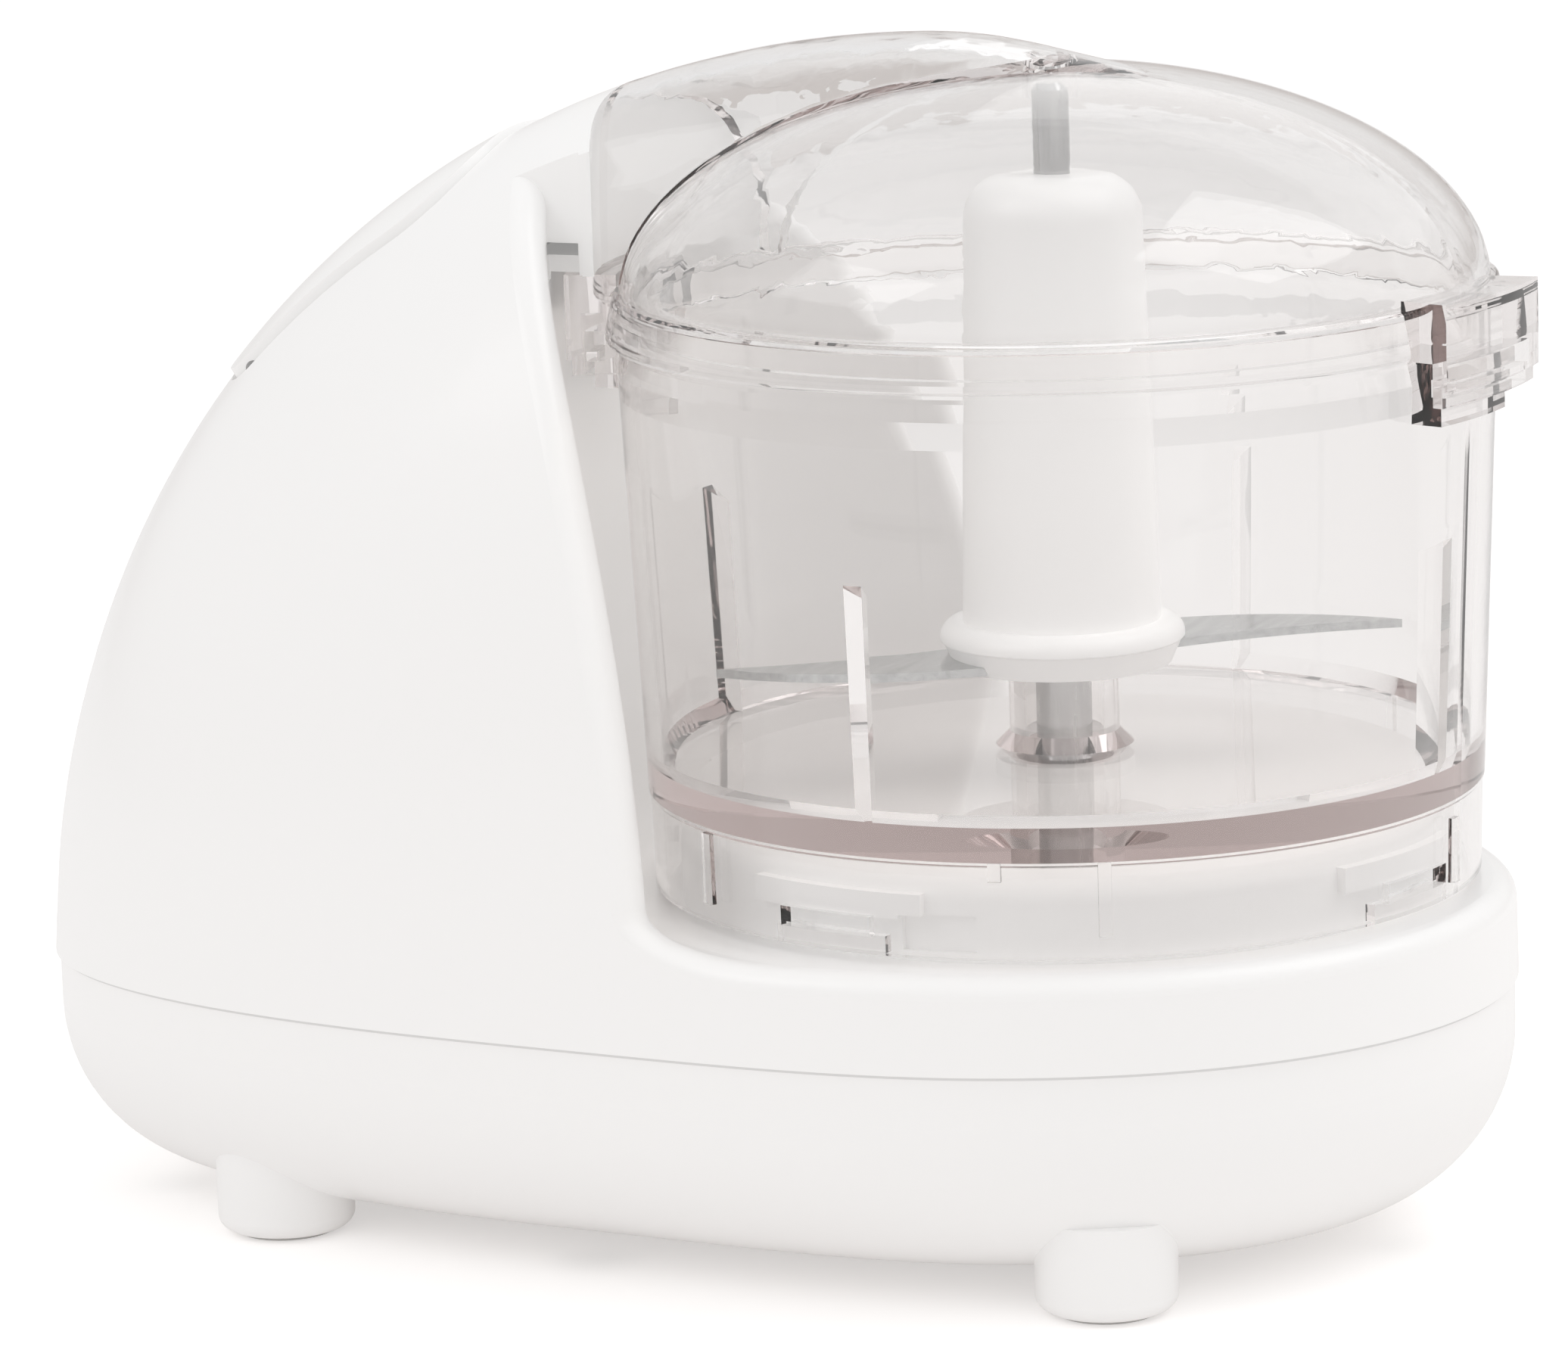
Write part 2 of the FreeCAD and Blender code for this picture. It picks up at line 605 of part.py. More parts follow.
def belt_loop(grow):
    """The outline round both pulleys, grown outwards."""
    big = dim("big_pulley_r") + grow
    small = dim("small_pulley_r") + grow
    span = dim("motor_x")
    lean = math.asin((big - small) / abs(span))
    up = Vector(-math.sin(lean), math.cos(lean), 0)
    down = Vector(up.x, -up.y, 0)
    motor = Vector(span, 0, 0)
    top = Part.LineSegment(up * big, motor + up * small).toShape()
    bottom = Part.LineSegment(motor + down * small, down * big).toShape()
    left = Part.Arc(motor + up * small, motor + Vector(-small, 0, 0), motor + down * small).toShape()
    right = Part.Arc(down * big, Vector(big, 0, 0), up * big).toShape()
    loop = Part.Face(Part.Wire([top, left, bottom, right]))
    loop.translate(Vector(0, 0, dim("belt_z")))
    return loop.extrude(Vector(0, 0, dim("belt_wide")))


slack = 0.08
computed("drive_belt", belt_loop(slack + dim("belt_thick")).cut(belt_loop(slack)))

# ---------------------------------------------------------------- motor, about its own axis
turned("motor_shaft", [
    ("0", "belt_z - 4.0"), ("motor_shaft_r", "belt_z - 4.0"), ("motor_shaft_r", "stator_z + 55.0"),
    ("0", "stator_z + 55.0")], "motor")
turned("motor_pulley", pulley_corners("motor_shaft_r", "small_pulley_r", "1.4"), "motor")


ARMATURE_SLOTS = 11
COMMUTATOR_BARS = 22
FAN_BLADES = 12


def armature_core():
    """The laminated armature: a stack slotted for its windings."""
    low, high = dim("stator_z"), dim("stator_z") + dim("stator_high")
    core = rod(dim("armature_r"), low, high)
    for index in range(ARMATURE_SLOTS):
        slot = block(9.0, 12.6, -1.7, 1.7, low - 1, high + 1)
        slot = slot.fuse(block(12.0, 16, -0.7, 0.7, low - 1, high + 1))
        slot.rotate(Vector(0, 0, 0), Vector(0, 0, 1), 360 * index / ARMATURE_SLOTS)
        core = core.cut(slot)
    return core.cut(rod(dim("motor_shaft_r"), low - 1, high + 1))


def armature_windings():
    """The windings: bars in the slots, joined by a rounded bundle at each end of the stack."""
    low, high = dim("stator_z"), dim("stator_z") + dim("stator_high")
    bundle = 4.6
    solids = []
    for start in (low - bundle, high):
        bun = tube(dim("motor_shaft_r") + 2.0, 12.4, start, start + bundle)
        free = start if start < low else start + bundle
        rims = [e for e in bun.Edges if abs(e.BoundBox.ZMin - free) < 0.1 and e.BoundBox.XMax > 12
                and e.BoundBox.ZLength < 0.1]
        solids.append(bun.makeFillet(2.0, rims))
    for index in range(ARMATURE_SLOTS):
        bar = block(9.3, 12.2, -1.4, 1.4, low - 0.5, high + 0.5)
        bar.rotate(Vector(0, 0, 0), Vector(0, 0, 1), 360 * index / ARMATURE_SLOTS)
        solids.append(bar)
    return solids[0].multiFuse(solids[1:])


def commutator():
    """Copper bars round a moulded core, split by thin gaps."""
    low = dim("stator_z") + 36
    high = low + 11
    ring_shape = tube(dim("motor_shaft_r"), 8.6, low, high)
    for index in range(COMMUTATOR_BARS):
        gap = block(7.0, 10, -0.15, 0.15, low - 1, high + 1)
        gap.rotate(Vector(0, 0, 0), Vector(0, 0, 1), 360 * index / COMMUTATOR_BARS)
        ring_shape = ring_shape.cut(gap)
    return ring_shape


def cooling_fan():
    """A radial fan under the stack, its blades standing on a disc."""
    low = dim("stator_z") - 14.0
    tip_r, root_r, lean = 22.0, 8.5, 18
    disc = tube(dim("motor_shaft_r"), tip_r, low, low + 1.4)
    fan = disc.fuse(tube(dim("motor_shaft_r"), 5.5, low, low + 7))
    for index in range(FAN_BLADES):
        blade = block(root_r, tip_r - 0.5, -0.6, 0.6, low + 1, low + 7)
        blade.rotate(Vector(root_r, 0, 0), Vector(0, 0, 1), lean)
        blade.rotate(Vector(0, 0, 0), Vector(0, 0, 1), 360 * index / FAN_BLADES)
        fan = fan.fuse(blade)
    return fan.common(rod(tip_r, low, low + 8))


def stator_core():
    """The field laminations: a square-shouldered stack with two pole arches."""
    low, high = dim("stator_z"), dim("stator_z") + dim("stator_high")
    core = block(-23, 23, -dim("stator_radius"), dim("stator_radius"), low, high)
    core = core.makeFillet(9.0, [e for e in core.Edges if e.BoundBox.ZLength > 5])
    core = core.cut(rod(dim("armature_r") + 0.5, low - 1, high + 1))
    for side in (-1, 1):
        pocket_box = block(-12.5, 12.5, 0, 8.0, low - 1, high + 1)
        pocket_box.translate(Vector(0, 14.0 if side > 0 else -22.0, 0))
        core = core.cut(pocket_box)
    for x, y in STATOR_BOLTS:
        core = core.cut(rod(1.9, low - 1, high + 1, x, y))
    return core


def field_coils():
    """Two field coils, each a flat ring of winding over a pole, standing out at both ends."""
    low, high = dim("stator_z") - 4, dim("stator_z") + dim("stator_high") + 4
    coils = []
    for side in (-1, 1):
        winding = block(-11.8, 11.8, 0, 6.4, low, high)
        winding = winding.makeFillet(3.0, [e for e in winding.Edges if e.BoundBox.XLength > 10])
        winding.translate(Vector(0, 15.0 if side > 0 else -21.4, 0))
        coils.append(winding)
    return Part.makeCompound(coils)


STATOR_BOLTS = [(-18.5, 21.0), (18.5, -21.0), (18.5, 21.0), (-18.5, -21.0)]
BEARING_RADIUS = 7.0


def bearing_frame(low, bearing_low, legs_low, legs_high):
    """A cast cross-arm that carries one bearing and stands on the stack's corners."""
    thick = 3.0
    arm = block(-22.0, 22.0, -7.0, 7.0, low, low + thick)
    cross = block(-7.0, 7.0, -25.0, 25.0, low, low + thick)
    frame = arm.fuse(cross).fuse(rod(BEARING_RADIUS + 2, bearing_low, bearing_low + 7))
    for x, y in STATOR_BOLTS:
        pad_block = block(-4.0, 4.0, -3.5, 3.5, low, low + thick)
        pad_block.translate(Vector(x, y, 0))
        link = block(min(x, 0), max(x, 0), y - 3.0, y + 3.0, low, low + thick)
        leg = tube(1.9, 3.4, legs_low, legs_high, x, y)
        frame = frame.fuse(pad_block).fuse(link).fuse(leg).cut(rod(1.9, low - 1, low + thick + 1, x, y))
    hole = rod(BEARING_RADIUS, bearing_low + 1.5, bearing_low + 5.5)
    return frame.cut(hole).cut(rod(dim("motor_shaft_r") + 1.2, low - 10, low + 20))


STACK_TOP = dim("stator_z") + dim("stator_high")
LOWER_FRAME_Z = dim("stator_z") - 19.5
UPPER_FRAME_Z = STACK_TOP + 21.5
computed("armature_core", armature_core(), "motor")
computed("armature_windings", armature_windings(), "motor")
computed("commutator", commutator(), "motor")
computed("cooling_fan", cooling_fan(), "motor")
computed("stator_core", stator_core(), "motor")
computed("field_coils", field_coils(), "motor")
computed("lower_motor_frame",
         bearing_frame(LOWER_FRAME_Z, LOWER_FRAME_Z - 2, LOWER_FRAME_Z, dim("stator_z")), "motor")
computed("upper_motor_frame",
         bearing_frame(UPPER_FRAME_Z, UPPER_FRAME_Z - 2, STACK_TOP, UPPER_FRAME_Z), "motor")


def motor_bearing(low):
    """A sintered bearing of the motor shaft."""
    return tube(dim("motor_shaft_r") + RUNNING_FIT, BEARING_RADIUS, low + 1.5, low + 5.5)


computed("motor_bearings",
         Part.makeCompound([motor_bearing(LOWER_FRAME_Z - 2), motor_bearing(UPPER_FRAME_Z - 2)]), "motor")


def frame_bolt(x, y):
    """A long bolt through both frames and the stack."""
    bolt = rod(1.7, LOWER_FRAME_Z - 0.5, UPPER_FRAME_Z + 4.0, x, y)
    return bolt.fuse(rod(3.0, UPPER_FRAME_Z + 3.0, UPPER_FRAME_Z + 5.0, x, y))


computed("motor_bolts", Part.makeCompound([frame_bolt(x, y) for x, y in STATOR_BOLTS]), "motor")


def across(shape, side):
    """A shape drawn on the +Y side, or its mirror image."""
    return shape if side > 0 else shape.mirror(Vector(0, 0, 0), Vector(0, 1, 0))


BRUSH_Z = dim("stator_z") + 41.5
brushes = [across(block(-2.4, 2.4, 8.75, 19.0, BRUSH_Z - 3, BRUSH_Z + 3), side) for side in (-1, 1)]
computed("carbon_brushes", Part.makeCompound(brushes), "motor")
holder = block(-4.0, 4.0, 10.5, 23.5, BRUSH_Z - 4.6, BRUSH_Z + 4.6)
holder = holder.cut(block(-2.4, 2.4, 9.0, 22.0, BRUSH_Z - 3, BRUSH_Z + 3))
holder_foot = block(-4.0, 4.0, 16.0, 23.5, BRUSH_Z + 4.5, UPPER_FRAME_Z)
holder = holder.fuse(holder_foot)
computed("brush_holders", Part.makeCompound([across(holder, side) for side in (-1, 1)]), "motor")


def motor_mount(x, y):
    """A soft pillar between the lower housing and the motor's lower frame."""
    thick = dim("tray_inset") + dim("shell") + 0.1
    inside = tray_form(thick, dim("tray_z") + dim("shell") + 0.1, dim("tray_fillet") - dim("shell") - 0.1)
    inside.translate(Vector(-dim("motor_x"), 0, 0))
    pillar = tube(1.9, 4.2, dim("tray_z"), LOWER_FRAME_Z - 0.6, x, y)
    foot_part = pillar.common(inside)
    return foot_part.fuse(pillar.common(block(-60, 60, -60, 60, dim("parting_z") - 4, 60)))


computed("motor_mounts", Part.makeCompound([motor_mount(x, y) for x, y in STATOR_BOLTS]), "motor")


# ---------------------------------------------------------------- bowl
def bowl():
    """The clear bowl: wall, skirt, floor and centre tube, with lugs, ribs and bayonet hooks."""
    wall = dim("bowl_wall")
    foot_r, low_r, high_r = dim("bowl_skirt_r"), dim("bowl_low_r"), dim("bowl_high_r")
    rim_r, top = dim("bowl_rim_r"), dim("bowl_top")
    floor, under = dim("bowl_floor"), dim("bowl_under")
    shoulder = dim("bowl_shoulder")
    solid = spun([
        (dim("tube_bore"), under), (foot_r - wall, under), (foot_r - wall, dim("bowl_foot")),
        (foot_r, dim("bowl_foot")), (foot_r + 0.3, under - 0.4), (low_r, under), (high_r, shoulder),
        (rim_r, shoulder + 3.0), (rim_r, top), (rim_r - wall, top), (rim_r - wall, shoulder + 2.0),
        (high_r - wall - 0.1, shoulder - 4.0), (low_r - wall, floor + 2.0), (low_r - wall - 2.0, floor),
        (dim("tube_radius") + 2.0, floor), (dim("tube_radius"), floor + 2.0),
        (dim("tube_radius") - 0.3, dim("tube_top")), (dim("tube_bore"), dim("tube_top"))])
    for angle in RIB_ANGLES:
        rib = rib_wedge(low_r, floor, RIB_TOP)
        rib.rotate(Vector(0, 0, 0), Vector(0, 0, 1), angle)
        solid = solid.fuse(rib.cut(tube(low_r + 0.2, 80, 0, 150)))
    for middle in LATCH_ANGLES:
        lug_top = dim("lid_skirt_z") - 0.4
        lug = sector(rim_r - 0.4, dim("lug_radius"), LUG_FOOT, lug_top, middle + LUG_SHIFT, LUG_HALF)
        groove = sector(dim("lug_radius") - 1.6, 80, LUG_FOOT + 4.0, LUG_FOOT + 6.4, middle, 20.0)
        solid = solid.fuse(lug.cut(groove))
    for angle, low, high in SKIRT_RIBS:
        rib = block(foot_r - 1.0, foot_r + 1.1, -0.9, 0.9, low, high)
        rib.rotate(Vector(0, 0, 0), Vector(0, 0, 1), angle)
        solid = solid.fuse(rib)
    for middle in BAYONET_ANGLES:
        hook_in, hook_out = dim("boss_radius") + 0.5, foot_r - wall + 0.5
        solid = solid.fuse(sector(hook_in, hook_out, dim("bowl_foot"), HOOK_TOP, middle, HOOK_HALF))
        window = sector(foot_r - wall - 0.6, foot_r + 3, HOOK_TOP, HOOK_TOP + 2.8, middle, HOOK_HALF - 1.7)
        solid = solid.cut(window)
    return solid


def rib_wedge(wall_r, low, high):
    """One inner rib: a narrow wedge that stands in from the wall, its top sloping down inwards."""
    depth = 3.6
    half = 1.7
    inner = wall_r - dim("bowl_wall") - depth
    foot_x, foot_z = wall_r - 0.8, low - 1
    corners = [Vector(inner, 0, foot_z), Vector(foot_x, -half, foot_z), Vector(foot_x, half, foot_z)]
    foot_face = Part.Face(Part.makePolygon(corners + corners[:1]))
    wedge = foot_face.extrude(Vector(1.2, 0, high + 1 - low))
    slope = block(-12, 0, -5, 5, 0, 12)
    slope.rotate(Vector(0, 0, 0), Vector(0, 1, 0), -28)
    slope.translate(Vector(wall_r - 0.5, 0, high))
    return wedge.cut(slope)


LATCH_ANGLES = [-6.0, 188.0]  # degrees round the bowl's axis
LUG_SHIFT = -2.0              # degrees from a latch's middle to its lug's middle
LUG_HALF = 8.0                # half of a lug's length, in degrees
LUG_FOOT = 121.4              # lower edge of the lugs
HOOK_TOP = 54.6               # top of the bayonet hooks
HOOK_HALF = 9.0               # half of a hook's length, in degrees
RIB_ANGLES = [-5.0, 85.0, 175.0, 265.0]
RIB_TOP = 103.5
# the short ribs on the skirt: angle, lower end, upper end
SKIRT_RIBS = [(-123.5, 55.2, 65.3), (-62.2, 55.6, 66.0), (-76.5, 63.4, 66.0), (-2.7, 54.4, 63.6),
              (56.5, 55.2, 65.3), (117.8, 55.6, 66.0)]
computed("bowl", bowl())


# ---------------------------------------------------------------- lid
LATCH_FOOT = 124.4
DOME_POWER = 1.95
FORM_POWER = 2.1     # of the motor unit's crown line, which the fairing carries on
FAIRING_NARROWS = 12.0
FAIRING_BLUNT = 2.7
RIDGE_END_X = 16.0   # where the fairing's crown meets the dome
RIDGE_DROP = 5.3     # how far the crown falls from the form's top to there


def dome_points(shrink):
    """Half section of the dome from its apex outwards: nearly a quarter ellipse."""
    reach = dim("dome_radius") - shrink
    rise = dim("dome_top") - dim("dome_base") - shrink
    points = []
    steps = 16
    for step in range(steps + 1):
        share = math.sin(0.5 * math.pi * step / steps)
        radius = reach * share
        height = dim("dome_base") + rise * (1 - share ** DOME_POWER) ** (1 / DOME_POWER)
        points.append(Vector(radius, 0, height))
    return points


def dome_solid(shrink):
    """The solid under the dome, down to its base plane."""
    points = dome_points(shrink)
    curve = Part.BSplineCurve()
    curve.interpolate(Points=points, InitialTangent=Vector(1, 0, 0), FinalTangent=Vector(0, 0, -1))
    base = Vector(0, 0, dim("dome_base"))
    edges = [curve.toShape(), Part.LineSegment(points[-1], base).toShape(),
             Part.LineSegment(base, points[0]).toShape()]
    return Part.Face(Part.Wire(edges)).revolve(Vector(0, 0, 0), Vector(0, 0, 1), 360)


def fairing_section(x, shrink):
    """One upright arch of the fairing that runs from the dome's apex to the housing's bridge."""
    base = dim("dome_base")
    share = max(0.0, (x - dim("form_x")) / (RIDGE_END_X - dim("form_x")))
    along = min(0.0, x - dim("form_x"))
    fall = (1 - abs(along / dim("form_long")) ** FORM_POWER) ** (1 / FORM_POWER)
    crown = dim("parting_z") + dim("form_high") * fall
    crown -= RIDGE_DROP * share ** 1.26
    narrowing_from, narrowing_long = -60, 68.0
    half = dim("fairing_half") - shrink
    half -= FAIRING_NARROWS * max(0.0, (x - narrowing_from) / narrowing_long) ** 1.5
    rise = crown - shrink - base
    points = []
    steps = 18
    for step in range(steps + 1):
        angle = math.pi * step / steps
        y = -half * math.copysign(abs(math.cos(angle)) ** (2 / FAIRING_BLUNT), math.cos(angle))
        z = base + rise * math.sin(angle) ** (2 / FAIRING_BLUNT)
        points.append(Vector(x, y, z))
    curve = Part.BSplineCurve()
    curve.interpolate(points)
    drop = Vector(0, 0, -12)
    left, right = points[0], points[-1]
    sides = [Part.LineSegment(right, right + drop).toShape(),
             Part.LineSegment(right + drop, left + drop).toShape(),
             Part.LineSegment(left + drop, left).toShape()]
    return Part.Wire([curve.toShape()] + sides)


def fairing_solid(shrink):
    """The fairing's outer or inner form."""
    places = [-70, -58, -46, -34, -22, -10, 0, 8, RIDGE_END_X]
    solid = Part.makeLoft([fairing_section(x, shrink) for x in places], True, False)
    return solid.common(rod(dim("fairing_end"), dim("dome_base") - 1, 200))


def latch(middle, top):
    """A hood over one of the bowl's lugs: roof, outer wall, one end wall and an inner lip."""
    half = 12.0
    inner = dim("lug_radius") + 0.4
    outer = dim("latch_radius")
    skirt = dim("lid_skirt_z")
    roof = sector(dim("lid_bead_r") - 0.5, outer, skirt, top, middle, half)
    wall = sector(inner, outer, LATCH_FOOT, top, middle, half)
    lip = sector(dim("lug_radius") - 1.2, outer - 1, LATCH_FOOT + 1.5, LATCH_FOOT + 2.9, middle, half - 3)
    end = sector(dim("bowl_high_r") + 0.6, outer, LATCH_FOOT, top - 1, middle + half - 1.1, 1.1)
    bevel = sector(inner + 1.6, 90, 120, 126.6, middle, half + 2)
    return roof.fuse([wall, lip, end]).cut(bevel)


def lid():
    """The clear lid: dome, rim skirt, locating ring, pin socket, fairing and two latches."""
    wall = dim("lid_wall")
    rim = dim("bowl_rim_r")
    skirt_in = rim + 0.3
    skirt_z, bead_z = dim("lid_skirt_z"), dim("lid_bead_z")
    base = dim("dome_base")
    dome = dome_solid(0)
    solid = dome.cut(dome_solid(wall))
    rim_ring = spun([
        (dim("dome_radius") - wall - 1.2, dim("bowl_top") + 0.3), (skirt_in, dim("bowl_top") + 0.3),
        (skirt_in, skirt_z), (dim("lid_skirt_r") - 0.4, skirt_z), (dim("lid_skirt_r"), skirt_z + 0.5),
        (dim("lid_skirt_r"), skirt_z + 1.4), (dim("lid_bead_r"), bead_z - 0.4),
        (dim("lid_bead_r") - 0.5, bead_z), (dim("dome_radius") - 0.2, base + 0.3),
        (dim("dome_radius") - wall - 1.2, base + 0.3)])
    plug_foot = 131.5
    plug = tube(rim - wall - 2.0, rim - wall - 0.4, plug_foot, base + 0.4)
    solid = solid.fuse(rim_ring).fuse(plug)
    outer_fairing = fairing_solid(0)
    hollow = fairing_solid(wall)
    end_cut = tube(dim("fairing_end") - 0.5, 90, base, 200)
    fairing = outer_fairing.cut(hollow).cut(dome_solid(0.2)).cut(rod(90, 0, base + 0.05))
    solid = solid.fuse(fairing.cut(end_cut.cut(outer_fairing)))
    socket = tube(dim("pin_radius") + 0.35, 3.9, dim("pin_top") - 1.8, dim("dome_top") + 0.3)
    solid = solid.fuse(socket)
    low_latch_top = 138.6
    return solid.fuse([latch(LATCH_ANGLES[0], low_latch_top), latch(LATCH_ANGLES[1], dim("bridge_z") - 0.6)])


computed("lid", lid())


# ---------------------------------------------------------------- blade
HUB_TOP_ROUND = 6.0
HUB_FLANGE_ROUND = 2.4


def blade_hub():
    """The hub: a tapered grip with a domed top over the bowl's tube, and a flange at its foot."""
    top, top_r, low_r = dim("hub_top"), dim("hub_top_r"), dim("hub_low_r")
    flange = dim("hub_flange_r")
    low = dim("blade_z") - 0.4
    clear = dim("tube_radius") + 0.45
    cavity_top = dim("tube_top") + 1.6
    seam, shoulder = low + 3.7, low + 6.4
    solid = spun([
        (0, cavity_top), (clear - 0.3, cavity_top), (clear, low), (flange - 1.9, low),
        (flange - 0.4, seam - 0.3), (flange - 0.7, seam), (flange, seam), (flange, shoulder),
        (low_r, shoulder), (top_r, top), (0, top)])
    solid = solid.makeFillet(HUB_TOP_ROUND, [e for e in solid.Edges if e.BoundBox.ZMin > top - 0.1])
    rim = [e for e in solid.Edges if abs(e.BoundBox.ZMax - shoulder) < 0.1 and e.BoundBox.XMax > flange - 0.1
           and e.BoundBox.ZLength < 0.1]
    solid = solid.makeFillet(HUB_FLANGE_ROUND, rim)
    corner = dim("hex_corner") + 0.45
    hexagon = [Vector(corner * math.cos(math.radians(60 * k)), corner * math.sin(math.radians(60 * k)),
                      cavity_top - 1) for k in range(7)]
    socket = Part.Face(Part.makePolygon(hexagon)).extrude(Vector(0, 0, dim("hex_top") + 1.8 - cavity_top))
    solid = solid.cut(socket)
    return solid.cut(rod(dim("pin_radius"), dim("pin_low"), dim("hub_top") + 8))


def knife(turn, low):
    """One scimitar blade: a curved outer edge, a straighter cutting edge, tapered to its tip."""
    tip = dim("blade_tip")
    thick = dim("blade_thick")
    root, half = 10.5, 8.0
    outer_root, inner_root = Vector(root, half, 0), Vector(root, -half, 0)
    end = Vector(tip, -5.5, 0)
    outline = [
        Part.Arc(outer_root, Vector(30, 6.6, 0), end).toShape(),
        Part.Arc(end, Vector(29, -4.6, 0), inner_root).toShape(),
        Part.LineSegment(inner_root, outer_root).toShape()]
    plate = Part.Face(Part.Wire(outline)).extrude(Vector(0, 0, thick))
    bevel = block(0, 60, -30, 0, 0, 3)
    bevel.rotate(Vector(0, 0, 0), Vector(1, 0, 0), -16)
    bevel.rotate(Vector(0, 0, 0), Vector(0, 0, 1), -3.5)
    bevel.translate(Vector(0, -3.2, thick * 0.98))
    plate = plate.cut(bevel)
    plate.translate(Vector(0, 0, low))
    bore = dim("tube_radius") + 0.45
    blade = plate.fuse(tube(bore, 15.0, low, low + thick)).cut(rod(bore, 0, 200))
    blade.rotate(Vector(0, 0, 0), Vector(0, 0, 1), turn)
    return blade


BLADE_TURN = -141.0
BLADE_STEP = 1.6
lower_blade = knife(BLADE_TURN, dim("blade_z"))
upper_blade = knife(BLADE_TURN + 180, dim("blade_z") + BLADE_STEP)
computed("lower_blade", lower_blade)
computed("upper_blade", upper_blade)
computed("blade_hub", blade_hub().cut(lower_blade).cut(upper_blade))
turned("blade_pin", [
    ("0", "pin_low"), ("pin_radius", "pin_low"), ("pin_radius", "pin_top - 0.8"),
    ("pin_radius - 0.8", "pin_top"), ("0", "pin_top")])


# ---------------------------------------------------------------- press pad and switch
def pad_cover():
    """The long pad on the housing's back: a shell that stands proud, with hinge barrel and post."""
    skin = form_solid(dim("pad_proud")).cut(form_solid(-PAD_SKIN, 0.955))
    skin = skin.common(press_prism(0, 12))
    x, z = HINGE_X, HINGE_Z
    barrel = Part.makeCylinder(3.2, 32.0, Vector(x, -16.0, z), Vector(0, 1, 0))
    webs = [block(x - 3.2, x + 3.2, side * 12.0 - 1.4, side * 12.0 + 1.4, z, z + 14) for side in (-1, 1)]
    post = rod(5.0, dim("switch_top") + 8.4, 156, dim("switch_x"), 0)
    inner = form_solid(-1.0, 0.955).common(press_prism(-0.2, 12).fuse(press_prism(-0.2, 30)))
    extras = barrel.fuse(webs[0]).fuse(webs[1]).fuse(post).common(inner)
    bore = Part.makeCylinder(HINGE_PIN_R + RUNNING_FIT, 60, Vector(x, -30, z), Vector(0, 1, 0))
    return skin.fuse(extras).cut(bore)


computed("press_pad", pad_cover())
pin = Part.makeCylinder(HINGE_PIN_R, 40.0, Vector(HINGE_X, -20.0, HINGE_Z), Vector(0, 1, 0))
computed("pad_hinge_pin", pin)


def switch_block():
    """The power switch: a moulded case on a shelf, with its terminals."""
    x, top = dim("switch_x"), dim("switch_top")
    case = block(x - 9, x + 9, -11, 11, top - 14, top)
    case = case.makeFillet(1.0, [e for e in case.Edges if e.BoundBox.ZLength > 5])
    case = case.cut(rod(2.6, top - 8, top + 1, x, 0))
    for y in (-6, 0, 6):
        case = case.fuse(block(x - 0.4, x + 0.4, y - 2.2, y + 2.2, top - 20, top - 13.5))
    return case


computed("switch_block", switch_block())
ring("switch_plunger", "0", "2.4", "switch_top - 5.0", "switch_top + 8.0")
doc.getObject("switch_plunger").setExpression("Placement.Base.x", "Dims.bowl_x + Dims.switch_x")
computed("pad_spring", coil(3.9, 1.2, dim("switch_top") + 0.05, dim("switch_top") + 8.35, 4,
                            dim("switch_x"), 0))


def interlock_slider():
    """The bar that a lid latch pushes back to free the switch: a nose on a flat tail."""
    nose = block(-77, -70.4, -3.8, 3.8, 131.0, 136.0)
    nose = nose.makeFillet(1.2, [e for e in nose.Edges if e.BoundBox.XMin > -70.5 and e.BoundBox.YLength < 1])
    tail = block(-84.5, -76.5, -3.0, 3.0, 127.0, 131.8)
    return nose.fuse(tail)


computed("interlock_slider", interlock_slider())


# ---------------------------------------------------------------- cord inlet
def cord_grommet():
    """The flanged grommet in the rear of the housing that the supply lead would pass through."""
    z = CORD_Z
    skin = form_solid(0)
    x = min(v.X for v in skin.common(block(-170, -100, -0.5, 0.5, z - 0.5, z + 0.5)).Vertexes)
    flange = Part.makeCylinder(8.0, 2.2, Vector(x - 1.6, 0, z), Vector(1, 0, 0)).cut(form_solid(0))
    neck = Part.makeCylinder(5.95, 9.0, Vector(x - 0.5, 0, z), Vector(1, 0, 0))
    hole = Part.makeCylinder(3.4, 40, Vector(x - 20, 0, z), Vector(1, 0, 0))
    back = Part.makeCylinder(7.2, 2.0, Vector(x + 4.4, 0, z), Vector(1, 0, 0))
    return flange.fuse(neck).fuse(back).cut(hole)


computed("cord_grommet", cord_grommet())

# ---------------------------------------------------------------- checks and export
doc.recompute()
for item in doc.Objects:
    for word in ("Invalid", "Error"):
        if any(word in state for state in item.State):
            raise RuntimeError(f"{item.Label} is in state {item.State}")
for piece in NODES:
    shape = piece.Shape
    if shape.isNull() or not shape.isValid() or not shape.Solids:
        raise RuntimeError(f"{piece.Label} has no valid solid")
for piece in NODES:
    piece.Shape.exportStep(f"parts/{piece.Label}.step")
    box = piece.Shape.BoundBox
    print(f"{piece.Label:22s} solids {len(piece.Shape.Solids)}  volume {piece.Shape.Volume / 1000:8.2f} cm3  "
          f"z {box.ZMin:.1f} to {box.ZMax:.1f}")
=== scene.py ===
import json
import math

import bpy
from mathutils import Matrix, Vector


